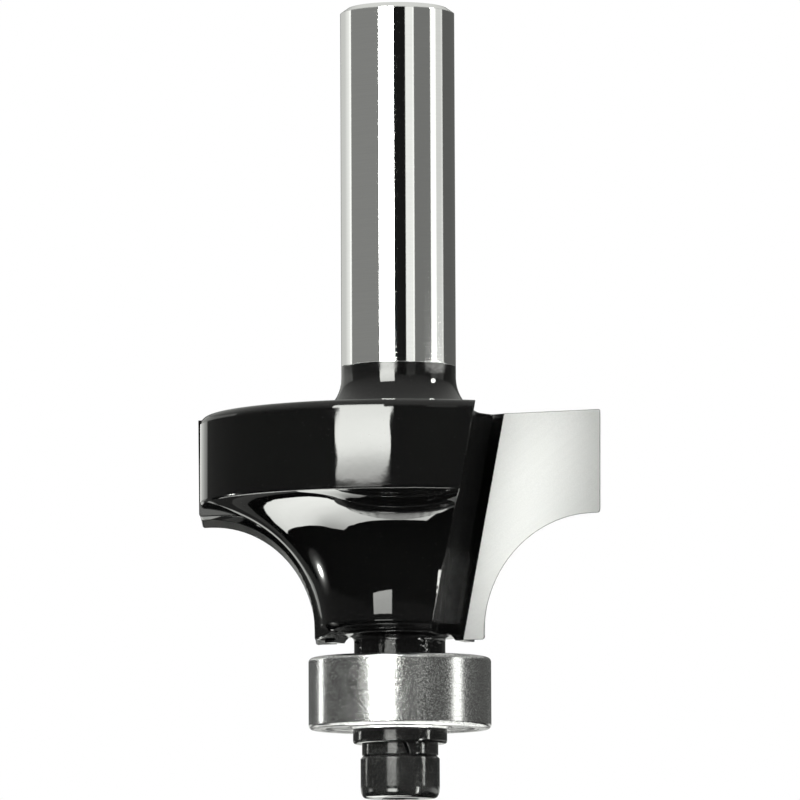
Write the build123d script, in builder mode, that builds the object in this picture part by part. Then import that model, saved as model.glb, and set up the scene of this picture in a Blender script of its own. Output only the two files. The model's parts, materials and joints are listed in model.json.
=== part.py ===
from build123d import *
import math
import os

os.makedirs("parts", exist_ok=True)

# Router bit, two flutes, quarter-round profile, guide bearing at the free end.
# Frame: +Z runs up the shank. The origin is the centre of the shank's free end,
# so the whole tool hangs below z = 0. Tip 1 lies along +X, tip 2 along -X.
# All lengths in millimetres.

# ---- shank and neck -------------------------------------------------------
SHANK_R = 4.0
SHANK_CHAMFER_R = 0.5
SHANK_CHAMFER_H = 0.35
NECK_R = 2.77                    # concave neck fillet
Z_TOP = -28.77                   # top face of the head
Z_NECK = Z_TOP + NECK_R          # where the neck fillet leaves the shank
Z_GAUGE = -29.0                  # height at which slanted tips and flutes are given

# ---- head -----------------------------------------------------------------
BAND_R = 13.85                   # outside radius of the head above the profile
BAND_TOP_FILLET = 0.55
ARC_CR = 14.35                   # centre of the quarter round, radius from axis
ARC_CZ = -43.95                  # and its height
CUT_R = 8.0                      # radius that the tips cut
BODY_R = 9.1                     # cove of the head, behind the tips' quarter round
BODY_CR = 14.62                  # its centre, radius from axis
RIDGE_FILLET = 0.12
Z_EDGE = -43.30                  # where the quarter round ends on the hub
HUB_R = 4.62                     # inner end of the hub's rounded lower edge
Z_HUB = -44.05                   # underside of the hub
BOSS_R = 3.175
BOSS_FILLET = 0.4
Z_BOSS = -45.55                  # shoulder that the bearing seats on
PIN_R = 2.375                    # bearing seat
Z_PIN = -50.35                   # end of the bearing seat
PIN_CHAMFER = 0.2
TAP_R = 1.5                      # M3 thread, major radius
Z_TAP = -39.9
DRILL_R = 1.25
Z_DRILL = -39.0

# ---- cutting tips ---------------------------------------------------------
TIP_OUT = 15.0                   # cutting radius at the outer edge
TIP_IN = 6.35                    # cutting radius at the bearing
TIP_FLAT_Z = -35.95              # short flat outside the quarter round
TIP_BOTTOM_Z = -44.45
TIP_T = 2.0                      # carbide thickness
TIP_CORNER = 0.22                # rounded outer corners
TIP_TOP_CORNER = 0.12            # at the head's top face
TIP_FOOT_CORNER = 0.18           # and the corner beside the bearing
FACE_Y = 0.33                    # cutting face lies this far behind the axis
SHEAR = 1.0                      # axial shear of the face, degrees
SLANT = 11.0                     # slant of the tip's inner edge and the flute
INNER_X = 7.76                   # inner edge of the tip at the gauge height
RELIEF_IN = 0.40                 # relief per mm of depth: inwards
RELIEF_UP = 0.20                 # and upwards
BACK_T = 4.0                     # depth at which the steel backing ends
BACK_OUT = 13.4                  # backing profile at that depth
BACK_FLAT_Z = -35.45
BACK_ARC_R = 8.45                # here it has run into the head's cove
BACK_ARC_CR = 11.6
BACK_IN = 2.9
BACK_BOTTOM_Z = -43.85
FOOT_IN = 3.82                   # inner end of the foot under the hub

tan_slant = math.tan(math.radians(SLANT))
tan_shear = math.tan(math.radians(SHEAR))
flute_dir = Vector(tan_slant, tan_shear, 1.0).normalized()

# The face plane: local x runs outwards, local y runs down, normal points back.
face_n = Vector(0, math.cos(math.radians(SHEAR)), -math.sin(math.radians(SHEAR)))
face_1 = Plane(origin=(0, FACE_Y, Z_GAUGE), x_dir=(1, 0, 0), z_dir=face_n)
face_2 = Plane(origin=(0, -FACE_Y, Z_GAUGE), x_dir=(-1, 0, 0),
               z_dir=Vector(0, -face_n.Y, face_n.Z))


def down(z):
    """Local y of a height on the face plane."""
    return (Z_GAUGE - z) / math.cos(math.radians(SHEAR))


def arc_mid(cx, cy, r):
    """Middle of the quarter round that faces the axis and the shank."""
    return (cx - r * math.sqrt(0.5), cy - r * math.sqrt(0.5))


def back_dir(plane):
    """Slanted direction of the relief: back, inwards and up."""
    return (plane.z_dir - plane.x_dir * RELIEF_IN - plane.y_dir * RELIEF_UP)


def profile_lines(out, flat_z, arc_r, arc_cr, bottom_z, inner, top):
    """Closed outline of the cutting profile on a face plane."""
    arc_cz = flat_z - arc_r
    foot = arc_cr - arc_r
    c, f, k = TIP_CORNER, TIP_FOOT_CORNER, 1 - math.sqrt(0.5)
    flat_y, foot_y = down(flat_z), down(bottom_z)
    Polyline((inner, foot_y), (inner, top), (out, top), (out, flat_y - c))
    ThreePointArc((out, flat_y - c), (out - c * k, flat_y - c * k), (out - c, flat_y))
    Line((out - c, flat_y), (arc_cr, flat_y))
    ThreePointArc((arc_cr, down(flat_z)),
                  arc_mid(arc_cr, down(arc_cz), arc_r),
                  (foot, down(arc_cz)))
    Line((foot, down(arc_cz)), (foot, foot_y - f))
    ThreePointArc((foot, foot_y - f), (foot - f * k, foot_y - f * k), (foot - f, foot_y))
    Line((foot - f, foot_y), (inner, foot_y))


# ---- carbide tips ---------------------------------------------------------
# Each tip is a flat plate: its outline runs back along the relief direction,
# the inner edge is square to the face and the top is flush with the head.
def inner_edge(z, extra=0.0):
    return INNER_X + extra + (z - Z_GAUGE) * tan_slant


def plate_outline(extra):
    return [(inner_edge(Z_GAUGE + 4, extra), -4.0), (24.0, -4.0), (24.0, 22.0),
            (inner_edge(Z_GAUGE - 22, extra), 22.0)]


with BuildPart() as tip_1:
    with BuildSketch(face_1):
        with BuildLine():
            profile_lines(TIP_OUT, TIP_FLAT_Z, CUT_R, ARC_CR, TIP_BOTTOM_Z, 1.0, -1.5)
        make_face()
    extrude(amount=back_dir(face_1).length * 6.0, dir=back_dir(face_1))
    with BuildSketch(face_1):
        with BuildLine():
            Polyline(*plate_outline(0.0), close=True)
        make_face()
    extrude(amount=TIP_T, mode=Mode.INTERSECT)
    split(bisect_by=Plane.XY.offset(Z_TOP), keep=Keep.BOTTOM)
    fillet(edges().group_by(Axis.Z)[-1].sort_by(Axis.X)[-1], radius=TIP_TOP_CORNER)

with BuildPart() as tip_2:
    with BuildSketch(face_2):
        with BuildLine():
            profile_lines(TIP_OUT, TIP_FLAT_Z, CUT_R, ARC_CR, TIP_BOTTOM_Z, 1.0, -1.5)
        make_face()
    extrude(amount=back_dir(face_2).length * 6.0, dir=back_dir(face_2))
    with BuildSketch(face_2):
        with BuildLine():
            Polyline(*plate_outline(0.0), close=True)
        make_face()
    extrude(amount=TIP_T, mode=Mode.INTERSECT)
    split(bisect_by=Plane.XY.offset(Z_TOP), keep=Keep.BOTTOM)
    fillet(edges().group_by(Axis.Z)[-1].sort_by(Axis.X)[0], radius=TIP_TOP_CORNER)


# ---- steel body: shank, neck, head, boss and bearing seat in one piece ----
def body_arc(r):
    """Height of the head's quarter round at a radius."""
    return ARC_CZ + math.sqrt(BODY_R ** 2 - (BODY_CR - r) ** 2)


hub_r = BODY_CR - math.sqrt(BODY_R ** 2 - (ARC_CZ - Z_EDGE) ** 2)
ridge_z = body_arc(BAND_R)
mid_r = 8.0

# flute section at the gauge height, tip 1 side
flute_pts = dict(
    rim_far=(11.60, -13.87), rim=(9.856, -9.683), wall=(7.766, -5.357),
    root_a=(6.727, -3.082), root_m=(6.28, -1.00), root_b=(6.846, 0.62),
    strip=(7.60, 0.42), face=(7.76, FACE_Y), out=(19.0, FACE_Y), far=(19.0, -13.87))
SLOT_UP = 1.0                    # the flute tool starts above the head
SLOT_LEN = 24.0


def flute_plane(side):
    """Plane above the head; side +1 for tip 1, -1 for tip 2."""
    z = Z_GAUGE + SLOT_UP
    return Plane(origin=(side * tan_slant * SLOT_UP, side * tan_shear * SLOT_UP, z),
                 x_dir=(side, 0, 0), z_dir=(0, 0, 1))


def flute_outline():
    p = flute_pts
    Polyline(p["far"], p["rim_far"], p["rim"])
    Spline(p["rim"], p["wall"], p["root_a"])
    ThreePointArc(p["root_a"], p["root_m"], p["root_b"])
    Polyline(p["root_b"], p["strip"], p["face"], p["out"], p["far"])


def back_sections(plane, inner):
    """The two outlines that bound the steel backing behind a tip."""
    s_in, s_up = RELIEF_IN * TIP_T, RELIEF_UP * TIP_T
    with BuildSketch(plane.offset(TIP_T)) as near:
        with BuildLine():
            profile_lines(TIP_OUT - s_in, TIP_FLAT_Z + s_up, CUT_R, ARC_CR - s_in,
                          TIP_BOTTOM_Z + s_up * 0.5, inner, down(Z_TOP) - tan_shear * TIP_T)
        make_face()
    with BuildSketch(plane.offset(BACK_T)) as far:
        with BuildLine():
            profile_lines(BACK_OUT, BACK_FLAT_Z, BACK_ARC_R, BACK_ARC_CR,
                          BACK_BOTTOM_Z, BACK_IN, down(Z_TOP) - tan_shear * BACK_T)
        make_face()
    return [near.sketch, far.sketch]


def foot_outline():
    """Steel beside the lower end of a tip, down to the tip's foot."""
    Polyline((FOOT_IN - 0.30, down(Z_HUB) - 0.3), (5.6, down(Z_HUB) - 0.3),
             (5.6, down(TIP_BOTTOM_Z) - 0.03), (FOOT_IN + 0.25, down(TIP_BOTTOM_Z) - 0.03),
             (FOOT_IN - 0.30, down(Z_HUB) - 0.3))


back_1 = back_sections(face_1, FOOT_IN)
back_2 = back_sections(face_2, FOOT_IN)

with BuildPart() as cutter_body:
    # everything turned about the axis
    with BuildSketch(Plane.XZ):
        with BuildLine():
            Polyline((0, Z_PIN), (0, 0), (SHANK_R - SHANK_CHAMFER_R, 0),
                     (SHANK_R, -SHANK_CHAMFER_H), (SHANK_R, Z_NECK))
            ThreePointArc((SHANK_R, Z_NECK),
                          (SHANK_R + NECK_R - NECK_R * math.sqrt(0.5),
                           Z_NECK - NECK_R * math.sqrt(0.5)),
                          (SHANK_R + NECK_R, Z_TOP))
            Polyline((SHANK_R + NECK_R, Z_TOP), (BAND_R - BAND_TOP_FILLET, Z_TOP))
            ThreePointArc((BAND_R - BAND_TOP_FILLET, Z_TOP),
                          (BAND_R - BAND_TOP_FILLET * (1 - math.sqrt(0.5)),
                           Z_TOP - BAND_TOP_FILLET * (1 - math.sqrt(0.5))),
                          (BAND_R, Z_TOP - BAND_TOP_FILLET))
            Polyline((BAND_R, Z_TOP - BAND_TOP_FILLET), (BAND_R, ridge_z + RIDGE_FILLET),
                     (BAND_R - RIDGE_FILLET, body_arc(BAND_R - RIDGE_FILLET)))
            ThreePointArc((BAND_R - RIDGE_FILLET, body_arc(BAND_R - RIDGE_FILLET)),
                          (mid_r, body_arc(mid_r)), (hub_r, Z_EDGE))
            ThreePointArc((hub_r, Z_EDGE), ((hub_r + HUB_R) / 2 + 0.10, (Z_EDGE + Z_HUB) / 2 - 0.08),
                          (HUB_R, Z_HUB))
            Polyline((HUB_R, Z_HUB), (BOSS_R + BOSS_FILLET, Z_HUB))
            ThreePointArc((BOSS_R + BOSS_FILLET, Z_HUB),
                          (BOSS_R + BOSS_FILLET * (1 - math.sqrt(0.5)),
                           Z_HUB - BOSS_FILLET * (1 - math.sqrt(0.5))),
                          (BOSS_R, Z_HUB - BOSS_FILLET))
            Polyline((BOSS_R, Z_HUB - BOSS_FILLET), (BOSS_R, Z_BOSS), (PIN_R, Z_BOSS),
                     (PIN_R, Z_PIN + PIN_CHAMFER), (PIN_R - PIN_CHAMFER, Z_PIN), (0, Z_PIN))
        make_face()
    revolve(axis=Axis.Z)
    # backing behind each tip, and the foot beside each tip
    for sections in (back_1, back_2):
        loft(sections, ruled=True)
    for plane in (face_1, face_2):
        with BuildSketch(plane.offset(0.2)):
            with BuildLine():
                foot_outline()
            make_face()
        extrude(amount=TIP_T - 0.2)
    # flutes
    for side in (1, -1):
        with BuildSketch(flute_plane(side)):
            with BuildLine():
                flute_outline()
            make_face()
        extrude(amount=-SLOT_LEN, dir=flute_dir if side > 0 else
                Vector(-flute_dir.X, -flute_dir.Y, flute_dir.Z), mode=Mode.SUBTRACT)
    # seats that the carbide tips are brazed into
    for plane in (face_1, face_2):
        with BuildSketch(plane.offset(-0.6)):
            with BuildLine():
                Polyline(*plate_outline(0.0), close=True)
            make_face()
        extrude(amount=TIP_T + 0.6, mode=Mode.SUBTRACT)
    # tapped hole for the clamp screw
    with BuildSketch(Plane.XZ):
        Polyline_pts = [(0, Z_PIN - 0.5), (TAP_R, Z_PIN - 0.5), (TAP_R, Z_TAP),
                        (DRILL_R, Z_TAP), (DRILL_R, Z_DRILL), (0, Z_DRILL + 0.75)]
        with BuildLine():
            Polyline(*Polyline_pts, close=True)
        make_face()
    revolve(axis=Axis.Z, mode=Mode.SUBTRACT)

# ---- guide bearing --------------------------------------------------------
BRG_OUT_R = 6.35
BRG_BORE_R = 2.38125
BRG_W = 4.978
Z_BRG_TOP = Z_BOSS
Z_BRG = Z_BRG_TOP - BRG_W / 2
BALL_R = 1.1906
PITCH_R = 4.365
N_BALLS = 7
RUN_GAP = 0.01                   # between a ball and the bottom of each groove
GROOVE_R = 1.24
INNER_LAND_R = 3.55
OUTER_LAND_R = 5.12
SHIELD_SEAT_R = 5.45
RECESS = 0.45                    # shield's inner face, below the bearing's face
SHIELD_T = 0.2
SHIELD_IN_R = 3.66
RING_GROOVE_R = 5.62
RING_WIRE = 0.22
OUT_ROUND = 0.30

half_w = BRG_W / 2
shield_z = half_w - RECESS       # distance of the shield's seat from the middle

with BuildPart() as outer_ring:
    with BuildSketch(Plane.XZ):
        with BuildLine():
            k = OUT_ROUND * (1 - math.sqrt(0.5))
            flat = BRG_OUT_R - OUT_ROUND
            Polyline((BRG_OUT_R, Z_BRG), (BRG_OUT_R, Z_BRG + half_w - OUT_ROUND))
            ThreePointArc((BRG_OUT_R, Z_BRG + half_w - OUT_ROUND),
                          (BRG_OUT_R - k, Z_BRG + half_w - k), (flat, Z_BRG + half_w))
            Polyline((flat, Z_BRG + half_w), (RING_GROOVE_R - 0.12, Z_BRG + half_w),
                     (RING_GROOVE_R, Z_BRG + shield_z + SHIELD_T - 0.02),
                     (SHIELD_SEAT_R, Z_BRG + shield_z + SHIELD_T - 0.02),
                     (SHIELD_SEAT_R, Z_BRG + shield_z), (OUTER_LAND_R, Z_BRG + shield_z),
                     (OUTER_LAND_R, Z_BRG - shield_z), (SHIELD_SEAT_R, Z_BRG - shield_z),
                     (SHIELD_SEAT_R, Z_BRG - shield_z - SHIELD_T + 0.02),
                     (RING_GROOVE_R, Z_BRG - shield_z - SHIELD_T + 0.02),
                     (RING_GROOVE_R - 0.12, Z_BRG - half_w), (flat, Z_BRG - half_w))
            ThreePointArc((flat, Z_BRG - half_w), (BRG_OUT_R - k, Z_BRG - half_w + k),
                          (BRG_OUT_R, Z_BRG - half_w + OUT_ROUND))
            Line((BRG_OUT_R, Z_BRG - half_w + OUT_ROUND), (BRG_OUT_R, Z_BRG))
        make_face()
        with Locations((PITCH_R + BALL_R + RUN_GAP - GROOVE_R, Z_BRG)):
            Circle(GROOVE_R, mode=Mode.SUBTRACT)
    revolve(axis=Axis.Z)

with BuildPart() as inner_ring:
    with BuildSketch(Plane.XZ):
        with Locations(((BRG_BORE_R + INNER_LAND_R) / 2, Z_BRG)):
            Rectangle(INNER_LAND_R - BRG_BORE_R, BRG_W)
        chamfer(vertices(), length=0.15)
        with Locations((PITCH_R - BALL_R - RUN_GAP + GROOVE_R, Z_BRG)):
            Circle(GROOVE_R, mode=Mode.SUBTRACT)
    revolve(axis=Axis.Z)

balls = []
for i in range(N_BALLS):
    a = 2 * math.pi * i / N_BALLS
    spot = Plane(origin=(PITCH_R * math.cos(a), PITCH_R * math.sin(a), Z_BRG))
    with BuildPart(spot) as ball:
        Sphere(BALL_R)
    balls.append(ball)

# pressed ribbon cage: two halves with round pockets, riveted between the balls
CAGE_T = 0.2
CAGE_IN_R = PITCH_R - 0.42
CAGE_OUT_R = PITCH_R + 0.42
POCKET_R = BALL_R + 0.05
RIVET_R = 0.2
RIVET_HEAD_R = 0.34
RIVET_HEAD_T = 0.14


def cage_half(up):
    """One ribbon; up = +1 for the half towards the shank, -1 for the other."""
    base = Plane(origin=(0, 0, Z_BRG), x_dir=(1, 0, 0), z_dir=(0, 0, up))
    with BuildPart(base) as half:
        with BuildSketch(base):
            Circle(CAGE_OUT_R)
            Circle(CAGE_IN_R, mode=Mode.SUBTRACT)
        extrude(amount=CAGE_T)
        with PolarLocations(PITCH_R, N_BALLS):
            Sphere(POCKET_R + CAGE_T)
        with BuildSketch(base):
            Circle(CAGE_OUT_R)
            Circle(CAGE_IN_R, mode=Mode.SUBTRACT)
        extrude(amount=2.2, mode=Mode.INTERSECT)
        with PolarLocations(PITCH_R, N_BALLS):
            Sphere(POCKET_R, mode=Mode.SUBTRACT)
        with PolarLocations(PITCH_R, N_BALLS, start_angle=180.0 / N_BALLS):
            Cylinder(RIVET_R, 1.0, mode=Mode.SUBTRACT)
    return half


cage_upper = cage_half(1)
cage_lower = cage_half(-1)

with BuildPart(Plane.XY.offset(Z_BRG)) as cage_rivets:
    with PolarLocations(PITCH_R, N_BALLS, start_angle=180.0 / N_BALLS):
        Cylinder(RIVET_R, 2 * CAGE_T + 0.001)
    with Locations((0, 0, CAGE_T + RIVET_HEAD_T / 2), (0, 0, -CAGE_T - RIVET_HEAD_T / 2)):
        with PolarLocations(PITCH_R, N_BALLS, start_angle=180.0 / N_BALLS):
            Cylinder(RIVET_HEAD_R, RIVET_HEAD_T)


def make_shield(up):
    """Pressed steel shield with a stepped inner lip, held in the outer ring."""
    base = Plane(origin=(0, 0, Z_BRG), x_dir=(1, 0, 0), z_dir=(0, 0, up))
    with BuildPart() as shield:
        with BuildSketch(Plane(origin=base.origin, x_dir=(1, 0, 0),
                               z_dir=(0, -up, 0))):
            with BuildLine():
                Polyline((SHIELD_IN_R, shield_z + 0.1), (SHIELD_IN_R, shield_z + 0.1 + SHIELD_T),
                         (4.75, shield_z + 0.1 + SHIELD_T), (4.87, shield_z + SHIELD_T),
                         (SHIELD_SEAT_R - 0.02, shield_z + SHIELD_T),
                         (SHIELD_SEAT_R - 0.02, shield_z), (4.77, shield_z),
                         (4.65, shield_z + 0.1), close=True)
            make_face()
        revolve(axis=Axis.Z)
    return shield


shield_upper = make_shield(1)
shield_lower = make_shield(-1)


def make_snap_ring(up):
    """Flat wire ring, open on one side, that locks a shield in its groove."""
    base = Plane(origin=(0, 0, Z_BRG + up * (shield_z + SHIELD_T)), x_dir=(1, 0, 0),
                 z_dir=(0, 0, up))
    with BuildPart() as ring:
        with BuildSketch(base):
            Circle(RING_GROOVE_R - 0.13)
            Circle(RING_GROOVE_R - 0.42, mode=Mode.SUBTRACT)
            with Locations((0, -(RING_GROOVE_R - 0.2))):
                Rectangle(0.9, 1.2, mode=Mode.SUBTRACT)
        extrude(amount=RING_WIRE)
    return ring


snap_ring_upper = make_snap_ring(1)
snap_ring_lower = make_snap_ring(-1)

# ---- clamp screw and its washers -----------------------------------------
WASHER_R = 3.27
WASHER_T = 1.0
WASHER_HOLE_R = 1.6
LOCK_R = 2.65
LOCK_HOLE_R = 1.55
LOCK_T = 0.8
SCREW_R = 1.485
SCREW_LEN = 12.0
HEAD_R = 2.75
HEAD_H = 3.0
HEAD_ROUND = 0.42                # rounded lower edge of the head, across
HEAD_RISE = 0.78                 # and up
HEX_AF = 2.5
HEX_DEPTH = 1.4
SPLIT_ANGLE = 33.4               # where the lock washer's split sits, from -Y towards +X

z_washer = Z_BRG_TOP - BRG_W
z_lock = z_washer - WASHER_T
z_head = z_lock - LOCK_T

with BuildPart() as flat_washer:
    with BuildSketch(Plane.XY.offset(z_washer - WASHER_T)):
        Circle(WASHER_R)
        Circle(WASHER_HOLE_R, mode=Mode.SUBTRACT)
    extrude(amount=WASHER_T)
    fillet(edges().filter_by(GeomType.CIRCLE).group_by(SortBy.RADIUS)[-1]
           .sort_by(Axis.Z)[0], radius=0.18)

with BuildPart() as lock_washer:
    with BuildSketch(Plane.XY.offset(z_lock - LOCK_T)):
        Circle(LOCK_R)
        Circle(LOCK_HOLE_R, mode=Mode.SUBTRACT)
    extrude(amount=LOCK_T)
    # the slanted split
    split_s, split_c = math.sin(math.radians(SPLIT_ANGLE)), math.cos(math.radians(SPLIT_ANGLE))
    with BuildSketch(Plane(origin=((LOCK_R + 1.0) * split_s, -(LOCK_R + 1.0) * split_c,
                                   z_lock - LOCK_T / 2),
                           x_dir=(split_c, split_s, 0), z_dir=(-split_s, split_c, 0))):
        with BuildLine():
            Polyline((-0.40, -0.75), (-0.16, -0.75), (0.40, 0.75), (0.16, 0.75), close=True)
        make_face()
    extrude(amount=LOCK_R, mode=Mode.SUBTRACT)

with BuildPart() as cap_screw:
    with BuildSketch(Plane.XZ):
        with BuildLine():
            Polyline((0, z_head - HEAD_H), (HEAD_R - HEAD_ROUND, z_head - HEAD_H))
            Spline((HEAD_R - HEAD_ROUND, z_head - HEAD_H),
                   (HEAD_R, z_head - HEAD_H + HEAD_RISE), tangents=[(1, 0.15), (0, 1)])
            Polyline((HEAD_R, z_head - HEAD_H + HEAD_RISE), (HEAD_R, z_head - 0.24),
                     (HEAD_R - 0.22, z_head), (SCREW_R, z_head),
                     (SCREW_R, z_head + SCREW_LEN - 0.35),
                     (SCREW_R - 0.35, z_head + SCREW_LEN), (0, z_head + SCREW_LEN),
                     (0, z_head - HEAD_H))
        make_face()
    revolve(axis=Axis.Z)
    with BuildSketch(Plane.XY.offset(z_head - HEAD_H)):
        RegularPolygon(radius=HEX_AF / 2, side_count=6, major_radius=False)
    extrude(amount=HEX_DEPTH, mode=Mode.SUBTRACT)
    with BuildSketch(Plane.XZ):
        with BuildLine():
            Polyline((0, z_head - HEAD_H + HEX_DEPTH + 0.35), (0, z_head - HEAD_H - 0.1),
                     (HEX_AF / 2 + 0.05, z_head - HEAD_H - 0.1),
                     (HEX_AF / 2 + 0.05, z_head - HEAD_H),
                     (HEX_AF / 2 - 0.15, z_head - HEAD_H + 0.2),
                     (HEX_AF / 2 - 0.15, z_head - HEAD_H + HEX_DEPTH), close=True)
        make_face()
    revolve(axis=Axis.Z, mode=Mode.SUBTRACT)

# ---- write every piece ----------------------------------------------------
pieces = {
    "cutter_body": cutter_body, "carbide_tip_1": tip_1, "carbide_tip_2": tip_2,
    "bearing_outer_ring": outer_ring, "bearing_inner_ring": inner_ring,
    "cage_upper": cage_upper, "cage_lower": cage_lower, "cage_rivets": cage_rivets,
    "shield_upper": shield_upper, "shield_lower": shield_lower,
    "snap_ring_upper": snap_ring_upper, "snap_ring_lower": snap_ring_lower,
    "flat_washer": flat_washer, "lock_washer": lock_washer, "cap_screw": cap_screw,
}
for i, ball in enumerate(balls):
    pieces[f"ball_{i + 1}"] = ball

for name, piece in pieces.items():
    piece.part.label = name
    export_step(piece.part, f"parts/{name}.step")
    box = piece.part.bounding_box()
    print(f"{name:20s} solids {len(piece.part.solids())} vol {piece.part.volume:9.3f} "
          f"x {box.min.X:7.3f} {box.max.X:7.3f} y {box.min.Y:7.3f} {box.max.Y:7.3f} "
          f"z {box.min.Z:8.3f} {box.max.Z:8.3f}")
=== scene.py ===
import json
import math
import random

import bpy
import bmesh
from mathutils import Matrix, Vector
from mathutils.geometry import delaunay_2d_cdt

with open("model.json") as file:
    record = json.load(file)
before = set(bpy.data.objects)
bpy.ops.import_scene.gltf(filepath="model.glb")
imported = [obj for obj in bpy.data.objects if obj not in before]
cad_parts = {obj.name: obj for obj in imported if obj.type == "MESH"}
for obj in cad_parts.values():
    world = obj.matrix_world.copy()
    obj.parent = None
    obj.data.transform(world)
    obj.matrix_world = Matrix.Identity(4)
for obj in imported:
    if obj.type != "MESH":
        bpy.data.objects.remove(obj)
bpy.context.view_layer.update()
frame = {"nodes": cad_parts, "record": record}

MM = 0.001
NODES = frame["nodes"]
scene = bpy.context.scene
scene.view_settings.view_transform = "Standard"
scene.view_settings.look = "None"

# ---------------------------------------------------------------- camera
AZ, EL = math.radians(23.4), math.radians(-5.75)
DIST = 0.535
ROLL = math.radians(-0.23)
back = Vector((math.sin(AZ) * math.cos(EL), -math.cos(AZ) * math.cos(EL), math.sin(EL)))
fwd = -back
right = fwd.cross(Vector((0, 0, 1))).normalized()
up = right.cross(fwd)
cam_data = bpy.data.cameras.new("camera")
cam_data.sensor_width = 36.0
cam_data.lens = 7670.0 * 36.0 / 800.0
cam_data.clip_start = 0.02
cam_data.clip_end = 50.0
cam = bpy.data.objects.new("camera", cam_data)
scene.collection.objects.link(cam)
target = Vector((0, 0, -27.52 * MM)) + right * (1.25 / 14.34 * MM)
rot = Matrix((right, up, -fwd)).transposed() @ Matrix.Rotation(ROLL, 3, "Z")
cam.matrix_world = Matrix.Translation(target + back * DIST) @ rot.to_4x4()
scene.camera = cam


def in_cam(x, y, z):
    """World point from studio coordinates: x right, y away from the camera, z up, metres."""
    h_right = Vector((math.cos(AZ), math.sin(AZ), 0))
    h_away = Vector((-math.sin(AZ), math.cos(AZ), 0))
    return h_right * x + h_away * y + Vector((0, 0, z))


# ---------------------------------------------------------------- node helpers
class Nodes:
    """A small builder for one material's node tree."""

    def __init__(self, name):
        self.mat = bpy.data.materials.new(name)
        self.mat.use_nodes = True
        self.nt = self.mat.node_tree
        self.nt.nodes.clear()
        self.out = self.nt.nodes.new("ShaderNodeOutputMaterial")
        self.bsdf = self.nt.nodes.new("ShaderNodeBsdfPrincipled")
        self.nt.links.new(self.bsdf.outputs[0], self.out.inputs["Surface"])
        self._obj = None

    def new(self, kind, **values):
        n = self.nt.nodes.new(kind)
        for k, v in values.items():
            setattr(n, k, v)
        return n

    def link(self, a, b):
        self.nt.links.new(a, b)

    def put(self, socket, value):
        """Links an output socket, or sets a plain value."""
        if isinstance(value, bpy.types.NodeSocket):
            self.nt.links.new(value, socket)
        else:
            socket.default_value = value

    def obj(self):
        if self._obj is None:
            self._obj = self.new("ShaderNodeTexCoord").outputs["Object"]
        return self._obj

    def xyz(self):
        n = self.new("ShaderNodeSeparateXYZ")
        self.link(self.obj(), n.inputs[0])
        return n.outputs

    def math(self, op, a, b=0.0, c=0.0, clamp=False):
        n = self.new("ShaderNodeMath", operation=op, use_clamp=clamp)
        self.put(n.inputs[0], a)
        self.put(n.inputs[1], b)
        self.put(n.inputs[2], c)
        return n.outputs[0]

    def noise(self, scale, detail=2.0, rough=0.5, stretch=None, vec=None, distortion=0.0):
        vec = vec or self.obj()
        if stretch is not None:
            m = self.new("ShaderNodeMapping")
            m.inputs["Scale"].default_value = stretch
            self.link(vec, m.inputs["Vector"])
            vec = m.outputs[0]
        n = self.new("ShaderNodeTexNoise")
        self.link(vec, n.inputs["Vector"])
        n.inputs["Scale"].default_value = scale
        n.inputs["Detail"].default_value = detail
        n.inputs["Roughness"].default_value = rough
        n.inputs["Distortion"].default_value = distortion
        return n.outputs["Fac"]

    def span(self, value, a, b, lo=0.0, hi=1.0, smooth=True):
        n = self.new("ShaderNodeMapRange", interpolation_type="SMOOTHSTEP" if smooth else "LINEAR")
        self.put(n.inputs["Value"], value)
        n.inputs["From Min"].default_value = a
        n.inputs["From Max"].default_value = b
        n.inputs["To Min"].default_value = lo
        n.inputs["To Max"].default_value = hi
        return n.outputs["Result"]

    def mix(self, fac, a, b):
        n = self.new("ShaderNodeMix", data_type="RGBA")
        self.put(n.inputs[0], fac)
        self.put(n.inputs[6], a)
        self.put(n.inputs[7], b)
        return n.outputs[2]

    def mixf(self, fac, a, b):
        n = self.new("ShaderNodeMix", data_type="FLOAT")
        self.put(n.inputs[0], fac)
        self.put(n.inputs[2], a)
        self.put(n.inputs[3], b)
        return n.outputs[0]

    def bump(self, height, distance, strength=1.0, normal=None):
        n = self.new("ShaderNodeBump")
        self.put(n.inputs["Strength"], strength)
        n.inputs["Distance"].default_value = distance
        self.link(height, n.inputs["Height"])
        if normal is not None:
            self.link(normal, n.inputs["Normal"])
        return n.outputs[0]

    def bevel(self, radius, samples=6):
        n = self.new("ShaderNodeBevel", samples=samples)
        n.inputs["Radius"].default_value = radius
        return n.outputs[0]

    def set(self, **values):
        names = dict(color="Base Color", metallic="Metallic", roughness="Roughness", ior="IOR",
                     normal="Normal", specular="Specular IOR Level", coat="Coat Weight",
                     coat_roughness="Coat Roughness", anisotropic="Anisotropic",
                     sheen="Sheen Weight")
        for k, v in values.items():
            self.put(self.bsdf.inputs[names[k]], v)
        return self.mat


def grey(v, warm=0.0):
    return (v * (1 + warm), v, v * (1 - warm), 1.0)


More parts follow.
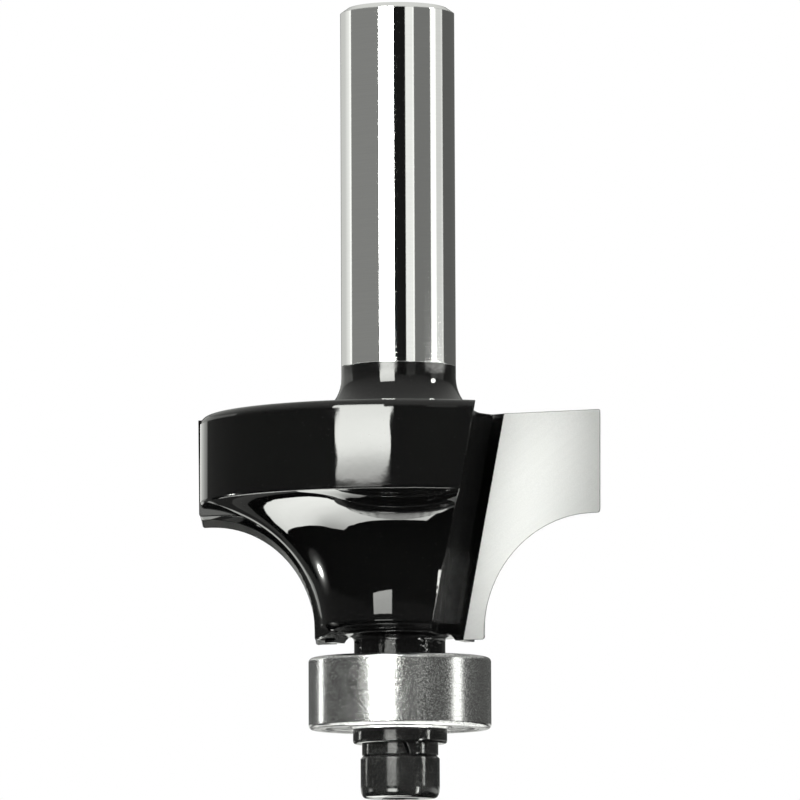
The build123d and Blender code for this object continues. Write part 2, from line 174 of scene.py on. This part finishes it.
# ---------------------------------------------------------------- materials
def painted_steel():
    """Gloss black paint on the head and neck, bright ground steel on the shank."""
    n = Nodes("painted_steel")
    x, y, z = n.xyz()
    # paint ends in a slightly uneven line round the shank
    wave = n.noise(320.0, 2.0)
    ragged = n.noise(2600.0, 3.0, 0.6)
    edge = n.math("MULTIPLY_ADD", wave, 0.00024, z)
    edge = n.math("MULTIPLY_ADD", ragged, 0.00010, edge)
    bare = n.span(edge, -0.02507, -0.02502)
    # speckles of dust show in the gloss; the spray is coarser on the neck and the boss
    dust = n.noise(9000.0, 2.0, 0.6)
    fleck = n.span(dust, 0.70, 0.76)
    neck = n.span(z, -0.0262, -0.0254)
    boss = n.span(z, -0.0441, -0.0438, 1.0, 0.0)
    # the flutes are left duller than the turned faces; their foot is painted lighter, a painted sheen
    radius = n.math("SQRT", n.math("ADD", n.math("MULTIPLY", x, x), n.math("MULTIPLY", y, y)))
    past = n.math("SUBTRACT", n.math("MULTIPLY_ADD", z, 0.17, 0.01188), radius)
    flute = n.span(past, -0.0001, 0.0003)
    flute = n.math("MULTIPLY", flute, n.span(z, -0.0292, -0.0287, 1.0, 0.0))
    flute = n.math("MULTIPLY", flute, n.span(z, -0.0434, -0.0431))
    flute_foot_sheen = n.math("MULTIPLY", flute, n.span(z, -0.0392, -0.0376, 1.0, 0.0))
    mottle = n.noise(1900.0, 3.0, 0.6)
    paint_col = n.mix(fleck, grey(0.0020), grey(0.03))
    paint_col = n.mix(flute, paint_col, n.mix(mottle, grey(0.003), grey(0.007)))
    # painted sheen: the foot of the flutes is coloured lighter grey
    paint_col = n.mix(flute_foot_sheen, paint_col, n.mix(mottle, grey(0.008), grey(0.030)))
    steel_col = n.mix(n.noise(1400.0, 3.0, 0.6, stretch=(0.25, 0.25, 9.0)), grey(0.68), grey(0.76))
    col = n.mix(bare, paint_col, steel_col)
    smear = n.noise(160.0, 3.0, 0.5)
    rough_paint = n.span(smear, 0.3, 0.75, 0.02, 0.045)
    rough_paint = n.mixf(neck, rough_paint, n.span(smear, 0.3, 0.75, 0.12, 0.20))
    rough_paint = n.mixf(flute, rough_paint, 0.16)
    rough_steel = n.span(n.noise(900.0, 2.0, 0.6, stretch=(0.3, 0.3, 8.0)), 0.3, 0.7, 0.02, 0.05)
    soft = n.bevel(0.00012)
    orange = n.noise(240.0, 0.0, 0.4)
    fine = n.noise(2400.0, 2.0, 0.5)
    grind = n.noise(2600.0, 3.0, 0.65, stretch=(0.12, 0.12, 6.0))
    keep = n.math("SUBTRACT", 1.0, bare)
    b1 = n.bump(orange, 0.000006, keep, soft)
    lumps = n.noise(2800.0, 2.0, 0.6)
    spray = n.math("MULTIPLY", keep, n.math("MULTIPLY_ADD", neck, 0.97, 0.03))
    b2 = n.bump(fine, 0.0000060, spray, b1)
    b2 = n.bump(lumps, 0.0000110, boss, b2)
    b3 = n.bump(grind, 0.0000003, bare, b2)
    return n.set(color=col, metallic=bare, roughness=n.mixf(bare, rough_paint, rough_steel),
                 ior=1.4, normal=b3)


def sharp_edge_mask(n, radius, lo, hi):
    """Mask along sharp edges, from how far a rounded normal turns away from the face's own."""
    geo = n.new("ShaderNodeNewGeometry")
    dot = n.new("ShaderNodeVectorMath", operation="DOT_PRODUCT")
    n.link(n.bevel(radius, 12), dot.inputs[0])
    n.link(geo.outputs["Normal"], dot.inputs[1])
    return n.span(dot.outputs["Value"], hi, lo)


def carbide():
    """Fine-ground carbide: satin, with grinding lines across the face."""
    n = Nodes("carbide")
    tilt = n.new("ShaderNodeMapping")
    n.link(n.obj(), tilt.inputs["Vector"])
    tilt.inputs["Rotation"].default_value = (0, math.radians(35), 0)
    lines = n.noise(1500.0, 4.0, 0.65, stretch=(0.10, 1.0, 3.0), vec=tilt.outputs[0])
    grain = n.noise(14000.0, 2.0, 0.6)
    cloud = n.noise(210.0, 3.0, 0.5)
    tone = n.math("ADD", n.math("MULTIPLY", lines, 0.3), n.math("MULTIPLY", grain, 0.7))
    col = n.mix(n.span(tone, 0.35, 0.65), grey(0.71), grey(0.76))
    # the honed cutting edge is rougher, and a thin dark line of painted shade is drawn along the edges
    honed_edge_and_painted_shade = sharp_edge_mask(n, 0.00011, 0.90, 0.985)
    col = n.mix(honed_edge_and_painted_shade, col, grey(0.07))
    rough = n.mixf(honed_edge_and_painted_shade, n.span(cloud, 0.3, 0.7, 0.40, 0.45), 0.5)
    b1 = n.bump(lines, 0.00000025)
    b2 = n.bump(grain, 0.0000004, 1.0, b1)
    return n.set(color=col, metallic=0.3, roughness=rough, normal=b2)


def bearing_steel():
    """Ground bearing steel with a fine matt grain."""
    n = Nodes("bearing_steel")
    grain = n.noise(9000.0, 3.0, 0.7)
    round_lines = n.noise(2600.0, 2.0, 0.6, stretch=(0.35, 0.35, 3.0))
    tone = n.math("ADD", n.math("MULTIPLY", grain, 0.85), n.math("MULTIPLY", round_lines, 0.15))
    col = n.mix(n.span(tone, 0.38, 0.62), grey(0.54), grey(0.86))
    rough = n.span(grain, 0.3, 0.7, 0.14, 0.27)
    b1 = n.bump(grain, 0.0000022, 1.0, n.bevel(0.00005))
    b2 = n.bump(round_lines, 0.0000003, 1.0, b1)
    return n.set(color=col, metallic=1.0, roughness=rough, normal=b2)


def ball_steel():
    n = Nodes("ball_steel")
    haze = n.noise(900.0, 3.0, 0.6)
    col = n.mix(haze, grey(0.74), grey(0.84))
    return n.set(color=col, metallic=1.0, roughness=n.span(haze, 0.3, 0.7, 0.03, 0.08),
                 normal=n.bump(haze, 0.0000006))


def cage_steel():
    n = Nodes("cage_steel")
    pressed = n.noise(2200.0, 3.0, 0.6)
    col = n.mix(pressed, grey(0.46, 0.02), grey(0.62, 0.02))
    return n.set(color=col, metallic=1.0, roughness=n.span(pressed, 0.3, 0.7, 0.22, 0.34),
                 normal=n.bump(pressed, 0.000003, 1.0, n.bevel(0.00003)))


def shield_steel():
    n = Nodes("shield_steel")
    turn = n.noise(2600.0, 3.0, 0.6)
    col = n.mix(turn, grey(0.62), grey(0.76))
    return n.set(color=col, metallic=1.0, roughness=n.span(turn, 0.3, 0.7, 0.16, 0.24),
                 normal=n.bump(turn, 0.0000022, 1.0, n.bevel(0.00004)))


def black_oxide():
    """Blackened, oiled steel of the screw and washers, pitted and rubbed in fine streaks."""
    n = Nodes("black_oxide")
    grain = n.noise(6500.0, 4.0, 0.7)
    patch = n.noise(700.0, 3.0, 0.6)
    streak = n.noise(5200.0, 3.0, 0.6, stretch=(1.0, 1.0, 0.16))
    col = n.mix(n.span(grain, 0.35, 0.7), grey(0.004), grey(0.014))
    col = n.mix(n.span(patch, 0.45, 0.75, 0.0, 0.5), col, grey(0.030))
    rough = n.span(grain, 0.35, 0.75, 0.08, 0.20)
    b1 = n.bump(patch, 0.000005, 1.0, n.bevel(0.00010))
    b2 = n.bump(streak, 0.0000045, 1.0, b1)
    b3 = n.bump(grain, 0.0000010, 1.0, b2)
    return n.set(color=col, metallic=0.0, roughness=rough, ior=1.6, normal=b3)


MATS = dict(painted_steel=painted_steel(), carbide=carbide(), bearing_steel=bearing_steel(),
            ball_steel=ball_steel(), cage_steel=cage_steel(), shield_steel=shield_steel(),
            black_oxide=black_oxide())
for part in frame["record"]["subparts"]:
    o = NODES[part["node"]]
    o.data.materials.clear()
    o.data.materials.append(MATS[part["material_slot"]])

# ---------------------------------------------------------------- studio
world = bpy.data.worlds.new("studio")
scene.world = world
world.use_nodes = True
wt = world.node_tree
wt.nodes.clear()
w_out = wt.nodes.new("ShaderNodeOutputWorld")
w_mix = wt.nodes.new("ShaderNodeMixShader")
w_path = wt.nodes.new("ShaderNodeLightPath")
w_seen = wt.nodes.new("ShaderNodeBackground")
w_fill = wt.nodes.new("ShaderNodeBackground")
w_seen.inputs[0].default_value = (1, 1, 1, 1)
w_seen.inputs[1].default_value = 1.0
w_fill.inputs[0].default_value = (0.985, 1.0, 0.955, 1)
w_fill.inputs[1].default_value = 0.10
wt.links.new(w_path.outputs["Is Camera Ray"], w_mix.inputs[0])
wt.links.new(w_fill.outputs[0], w_mix.inputs[1])
wt.links.new(w_seen.outputs[0], w_mix.inputs[2])
wt.links.new(w_mix.outputs[0], w_out.inputs["Surface"])


def glow(name):
    """A card's light: its strength at each point is in the mesh's own glow attribute."""
    mat = bpy.data.materials.new(name)
    mat.use_nodes = True
    nt = mat.node_tree
    nt.nodes.clear()
    out = nt.nodes.new("ShaderNodeOutputMaterial")
    em = nt.nodes.new("ShaderNodeEmission")
    at = nt.nodes.new("ShaderNodeAttribute")
    at.attribute_name = "glow"
    em.inputs["Color"].default_value = TINT
    nt.links.new(at.outputs["Fac"], em.inputs["Strength"])
    nt.links.new(em.outputs[0], out.inputs["Surface"])
    return mat


TINT = (0.985, 1.0, 0.955, 1.0)
PAINTED = ["cutter_body", "flat_washer", "lock_washer", "cap_screw"]
CARBIDE = ["carbide_tip_1", "carbide_tip_2"]
BEARING = [p["node"] for p in frame["record"]["subparts"]
           if p["node"] not in PAINTED + CARBIDE]
groups = {}
for key, names in (("painted", PAINTED), ("carbide", CARBIDE), ("bearing", BEARING),
                   ("cutter", ["cutter_body"]), ("screw", PAINTED[1:]),
                   ("not_carbide", PAINTED + BEARING), ("not_bearing", PAINTED + CARBIDE)):
    g = bpy.data.collections.new("lit_" + key)
    for nm in names:
        g.objects.link(NODES[nm])
    groups[key] = g


def studio_mesh(name, verts, faces, values, lit=None):
    me = bpy.data.meshes.new(name)
    me.from_pydata([tuple(v) for v in verts], [], faces)
    at = me.attributes.new("glow", "FLOAT", "POINT")
    for k, value in enumerate(values):
        at.data[k].value = value
    me.materials.append(glow(name))
    o = bpy.data.objects.new(name, me)
    scene.collection.objects.link(o)
    o.visible_camera = False
    o.visible_shadow = False
    if lit:
        o.light_linking.receiver_collection = groups[lit]
    return o


def along(stops, t):
    """Value at t on a line of (place, value) stops."""
    for (t0, v0), (t1, v1) in zip(stops, stops[1:]):
        if t0 <= t <= t1:
            return v0 + (v1 - v0) * (t - t0) / max(t1 - t0, 1e-9)
    return stops[0][1] if t < stops[0][0] else stops[-1][1]


def card(name, stops, rows, lit=None, radius=0.40, lean=None):
    """An upright curved card round the object. stops are (azimuth, strength), azimuth 0 towards
    the camera and right positive; rows are (height in mm, factor); lean(azimuth, height) moves
    the card's edges in azimuth."""
    azs = sorted({round(v, 3) for a0, a1 in zip(stops, stops[1:])
                  for v in [a0[0] + (a1[0] - a0[0]) * k / max(1, math.ceil((a1[0] - a0[0]) / 6))
                            for k in range(max(1, math.ceil((a1[0] - a0[0]) / 6)) + 1)]})
    verts, faces, values = [], [], []
    for az in azs:
        for z, k in rows:
            a = math.radians(az + (lean(az, z) if lean else 0.0))
            verts.append(in_cam(radius * math.sin(a), -radius * math.cos(a), z * MM))
            values.append(along(stops, az) * k)
    n = len(rows)
    for i in range(len(azs) - 1):
        for j in range(n - 1):
            faces.append((n * i + j, n * i + j + 1, n * (i + 1) + j + 1, n * (i + 1) + j))
    return studio_mesh(name, verts, faces, values, lit)


def lamp(name, az0, az1, z0, z1, radiance, lit, radius=0.38):
    """A flat area lamp facing the axis that spans these azimuths and heights (mm)."""
    mid, half = math.radians((az0 + az1) / 2), math.radians((az1 - az0) / 2)
    w, h = 2 * radius * math.tan(half), (z1 - z0) * MM
    place = in_cam(radius * math.sin(mid), -radius * math.cos(mid), (z0 + z1) / 2 * MM)
    aim = Vector((0, 0, place.z)) - place
    return area(name, place, aim, w, h, radiance, lit)


def area(name, place, aim, w, h, radiance, lit, upright=(0, 0, 1), gloss=True):
    data = bpy.data.lights.new(name, "AREA")
    data.shape = "RECTANGLE"
    data.size, data.size_y = w, h
    data.energy = radiance * math.pi * w * h
    data.color = TINT[:3]
    o = bpy.data.objects.new(name, data)
    scene.collection.objects.link(o)
    z = -aim.normalized()
    x = Vector(upright).cross(z).normalized()
    y = z.cross(x)
    o.matrix_world = Matrix.Translation(place) @ Matrix((x, y, z)).transposed().to_4x4()
    o.visible_glossy = gloss
    if lit:
        o.light_linking.receiver_collection = groups[lit]
    return o


# what the bright shank sees, from +13 mm up
card("card_shank_left", [(-165, 0.62), (-133, 0.76), (-124, 0.96), (-116, 1.1), (-112, 1.4), (-108, 1.4)],
     [(13, 1), (90, 1)])
card("card_shank_grey_left", [(-108, 0.285), (-38.0, 0.285)], [(13, 1), (90, 1)])
card("card_softbox", [(-38.0, 26), (-8.4, 26)], [(13, 1), (60, 1), (210, 0.8)], "not_carbide")
card("card_gap", [(-8.4, 0.012), (15.5, 0.012)], [(13, 1), (90, 1)])
card("card_front_right", [(15.5, 1.15), (30, 1.15), (31, 1.4), (33, 1.4)], [(13, 1), (90, 1)])
card("card_shank_grey_right", [(33, 0.225), (69.5, 0.225)], [(13, 1), (90, 1)])
card("card_right", [(69.5, 1.5), (83, 1.5), (84, 0.86), (98, 0.86), (99, 1.0), (103, 1.0)],
     [(13, 1), (90, 1)])
card("card_right_back", [(103, 0.135), (180, 0.135)], [(13, 1), (90, 1)])


# what the head's rim sees: a softbox with curved sides that fades towards its lower edge
SIDE_LEFT = [(0.1, -33.0), (0.35, -35.2), (0.8, -36.2), (1.4, -36.2), (2.2, -35.4), (3.3, -34.6),
             (4.2, -35.3), (5.5, -36.4), (7.0, -36.6), (8.2, -36.0), (9.0, -35.0), (9.6, -33.6),
             (13.0, -33.6)]
SIDE_RIGHT = [(0.1, -14.0), (0.35, -10.5), (0.8, -8.6), (1.2, -7.1), (2.4, -5.6), (3.65, -4.7),
              (4.9, -4.4), (6.1, -4.7), (7.35, -5.4), (8.6, -4.8), (9.4, -3.8), (9.8, -3.0),
              (13.0, -3.0)]
FADE = [(0.1, 12.8), (1.25, 14.6), (2.2, 17.0), (3.2, 22.0), (4.3, 27.2), (5.4, 29.0),
        (7.0, 29.0), (8.0, 28.3), (9.0, 26.5), (13.0, 26.0)]


def pillow(az, z):
    """Shift in azimuth that gives the softbox its curved sides."""
    k = (az + 37.0) / 32.0
    return (1 - k) * (along(SIDE_LEFT, z) + 37.0) + k * (along(SIDE_RIGHT, z) + 5.0)


rim_rows = [0.1, 0.22, 0.35, 0.55, 0.8, 1.1, 1.4, 1.8, 2.2, 2.8, 3.5, 4.3, 5.4, 6.5, 7.4, 8.0, 8.4,
            8.8, 9.1, 9.4, 9.6, 9.8, 13.0]
card("card_softbox_low", [(-37.0, 1.0), (-5.0, 1.0)], [(z, along(FADE, z)) for z in rim_rows],
     "painted", lean=pillow)
card("card_back_left", [(-182, 2.3), (-171, 1.9), (-166, 1.2), (-155, 1.2), (-146, 0.85), (-144.5, 0.6)],
     [(-1.5, 0.8), (13, 1)], "painted",
     lean=lambda az, z: (az + 182) / 37.5 * 1.5 * math.sin(z * 0.9))
# bright backdrop that undersides catch at a low angle
card("card_back_low", [(148, 0.7), (160, 0.9), (200, 0.9), (212, 0.7)], [(-95, 0.6), (-80, 1), (-38, 1)])
card("card_dark_low", [(-181, 0.03), (-161, 0.03)], [(-135, 1), (-97, 1)], "painted", radius=0.395)
lamp("lamp_back_face", -52.5, -44.5, -19, -9, 4.0, "cutter")
# what the boss, the washers and the screw see
lamp("lamp_low", -38, -10, -35.2, -10, 5.5, "painted")
lamp("lamp_low_right", 70, 77, -31.5, -26, 26, "painted")
lamp("lamp_boss_right", 66, 71, -17.6, -16.3, 36, "painted")
lamp("lamp_low_left", -121, -113, -31.5, -27, 9, "painted")
area("lamp_screw_left", in_cam(-0.37, 0.05, -0.112), in_cam(0.37, -0.05, 0.06), 0.10, 0.07, 3.2, "screw")
# what the underside of the hub sees


def panel(name, corners, values, lit=None):
    """A flat four-cornered panel. corners are (azimuth, height in mm) at the card radius."""
    pts = [in_cam(0.40 * math.sin(math.radians(az)), -0.40 * math.cos(math.radians(az)), z * MM)
           for az, z in corners]
    return studio_mesh(name, pts, [(0, 1, 2, 3)], values, lit)


panel("panel_hub", [(-36.5, -106), (-10.3, -112), (-10.3, -275), (-37.5, -238)],
      [10.2, 10.4, 12.4, 12.4], "painted")
for k in range(5):
    z0, z1 = -80 - 66 * k, -80 - 66 * (k + 1)
    a0, a1 = 50.5 + 1.7 * k, 50.5 + 1.7 * (k + 1)
    panel(f"panel_streak_{k}", [(a0, z0), (a0 + 3.0, z0), (a1 + 3.0, z1), (a1, z1)],
          [44.0 - 4 * k] * 2 + [40.0 - 4 * k] * 2, "painted")
card("card_flute", [(62, 0.2), (80, 0.3), (96, 0.5), (106, 1.1), (125, 1.3), (146, 0.7)],
     [(-170, 0.6), (-130, 1), (-60, 1)], "painted")


def disc(name, az, el, distance, rings, lit=None):
    """A round light that faces the head; rings are (radius in metres, strength)."""
    a, e = math.radians(az), math.radians(el)
    away = in_cam(math.sin(a) * math.cos(e), -math.cos(a) * math.cos(e), math.sin(e))
    mid = Vector((0, 0, -39 * MM if el < 0 else -26.4 * MM)) + away * distance
    u = away.cross(Vector((0, 0, 1))).normalized()
    v = away.cross(u)
    verts, values, faces = [mid], [rings[0][1]], []
    for radius, strength in rings[1:]:
        for k in range(32):
            t = 2 * math.pi * k / 32
            verts.append(mid + u * (radius * math.cos(t)) + v * (radius * math.sin(t)))
            values.append(strength)
    for k in range(32):
        faces.append((0, 1 + k, 1 + (k + 1) % 32))
        for r in range(len(rings) - 2):
            p, q = 1 + 32 * r + k, 1 + 32 * r + (k + 1) % 32
            faces.append((p, p + 32, q + 32, q))
    return studio_mesh(name, verts, faces, values, lit)


disc("disc_spot", -121.0, -23.6, 0.36,
     [(0, 120), (0.010, 110), (0.016, 18), (0.024, 4.0), (0.036, 1.2), (0.052, 0.4), (0.075, 0.1)],
     "cutter")
disc("disc_neck", 75.8, 22.6, 0.46, [(0, 50), (0.036, 50), (0.042, 6), (0.05, 1)], "painted")
# bright table behind and below, and its near part, which the bearing passes on to the cove
SHEET = [(-0.096, 0.614), (-0.117, 0.613), (-0.152, 0.629), (-0.197, 0.618), (-0.260, 0.656),
         (-0.322, 0.600), (-0.275, 0.455), (-0.249, 0.369), (-0.228, 0.296), (-0.204, 0.232),
         (-0.188, 0.184), (-0.175, 0.141), (-0.165, 0.102), (-0.149, 0.063), (-0.114, 0.065),
         (-0.080, 0.062), (-0.059, 0.062), (-0.043, 0.058), (-0.017, 0.054), (0.005, 0.053),
         (0.024, 0.053), (0.045, 0.057), (0.058, 0.060), (0.0605, 0.085), (0.0615, 0.108),
         (0.060, 0.160), (-0.030, 0.200), (-0.045, 0.250), (-0.060, 0.300), (-0.061, 0.353),
         (-0.062, 0.436), (-0.065, 0.516), (-0.078, 0.565)]
SHEET_Y = [(0.05, 11.4), (0.10, 11.3), (0.126, 10.8), (0.16, 10.0), (0.214, 9.6), (0.246, 9.0),
           (0.296, 8.2), (0.36, 6.8), (0.42, 5.9), (0.50, 4.7), (0.62, 3.5), (0.70, 3.2)]


def sheet_value(x, y):
    """Strength of the table: less towards the far end and towards its near left edge."""
    side = 1.0 - 0.45 * max(0.0, min(1.0, (-0.10 - x) / 0.07)) * max(0.0, min(1.0, (0.22 - y) / 0.10))
    return along(SHEET_Y, y) * side


cells = [(0.02 * i - 0.33, 0.02 * j + 0.05) for i in range(21) for j in range(31)]
flat, _, tris, _, _, _ = delaunay_2d_cdt([Vector(p) for p in SHEET + cells], [],
                                         [list(range(len(SHEET)))], 1, 1e-6)
studio_mesh("card_table", [in_cam(p.x, p.y, -0.35) for p in flat], [tuple(t) for t in tris],
            [sheet_value(p.x, p.y) for p in flat], "painted")
for k, (turn, dist, w, h) in enumerate([
        (0, 0.079, 0.05, 0.033), (32, 0.088, 0.05, 0.030), (-32, 0.086, 0.05, 0.030),
        (60, 0.098, 0.05, 0.033), (-60, 0.095, 0.05, 0.033), (88, 0.117, 0.055, 0.036),
        (-88, 0.117, 0.055, 0.036), (110, 0.150, 0.07, 0.058), (-108, 0.140, 0.06, 0.050),
        (-128, 0.172, 0.06, 0.050), (128, 0.170, 0.06, 0.050)]):
    t = math.radians(turn)
    out = in_cam(math.sin(t), -math.cos(t), 0)
    area(f"lamp_table_{k}", out * dist + Vector((0, 0, -0.345)), Vector((0, 0, 1)), w, h, 11.0,
         "bearing", upright=tuple(out))
# soft ceiling
verts, values, faces = [in_cam(0, 0, 0.45)], [0.92], []
for radius, strength in ((0.5, 0.85), (1.0, 0.64), (1.7, 0.36)):
    for k in range(24):
        t = 2 * math.pi * k / 24
        verts.append(in_cam(radius * math.cos(t), radius * math.sin(t), 0.45))
        values.append(strength)
for k in range(24):
    faces.append((0, 1 + k, 1 + (k + 1) % 24))
    for r in range(2):
        faces.append((1 + 24 * r + k, 25 + 24 * r + k, 25 + 24 * r + (k + 1) % 24,
                      1 + 24 * r + (k + 1) % 24))
studio_mesh("card_ceiling", verts, faces, values, "painted")
area("lamp_ceiling_carbide", Vector((0, 0, 0.44)), Vector((0, 0.001, -1)), 2.6, 2.6, 0.35, "carbide")
area("lamp_ceiling_bearing", Vector((0, 0, 0.44)), Vector((0, 0.001, -1)), 2.6, 2.6, 0.45, "bearing")
# narrow lights that draw the rounded edges of the flutes
lamp("lamp_edge_high", 54, 106, -3, 12, 15.0, "cutter")
lamp("lamp_edge_low", 66, 92, -450, -140, 10.0, "cutter")
# the bearing's own lights
lamp("lamp_bearing", -31, -10.5, -60, 10, 4.2, "bearing")
lamp("lamp_bearing_left", -121, -115.5, -60, 10, 4.2, "bearing")
lamp("lamp_bearing_right", 70, 84, -60, 10, 2.1, "bearing")
studio_mesh("card_bearing_below", [in_cam(x, y, -0.40) for x, y in ((-1, -1), (1, -1), (1, 1), (-1, 1))],
            [(0, 1, 2, 3)], [1.25] * 4, "bearing")
# close soft lamps over each cutting face, inside the open flutes
for side in (1, -1):
    spot = Vector((9.3 * MM * side, -6.0 * MM * side, -35.5 * MM))
    area(f"lamp_carbide_{1 if side > 0 else 2}", spot, Vector((0.0, 1.0 * side, 0)),
         0.0020, 0.018, 11.4, "carbide",
         upright=(math.sin(math.radians(11)) * side, 0, math.cos(math.radians(11))), gloss=False)

# pale floor, far below the tool that hangs in the studio
floor_mat = bpy.data.materials.new("floor")
floor_mat.use_nodes = True
fb = floor_mat.node_tree.nodes["Principled BSDF"]
fb.inputs["Base Color"].default_value = (0.86, 0.86, 0.86, 1)
fb.inputs["Roughness"].default_value = 0.9
fb.inputs["Emission Color"].default_value = (0.86, 0.86, 0.86, 1)
fb.inputs["Emission Strength"].default_value = 1.0
me = bpy.data.meshes.new("floor")
me.from_pydata([(-9, -9, -0.62), (9, -9, -0.62), (9, 9, -0.62), (-9, 9, -0.62)], [], [(0, 1, 2, 3)])
me.materials.append(floor_mat)
floor = bpy.data.objects.new("floor", me)
scene.collection.objects.link(floor)
floor.visible_glossy = False
floor.visible_diffuse = False
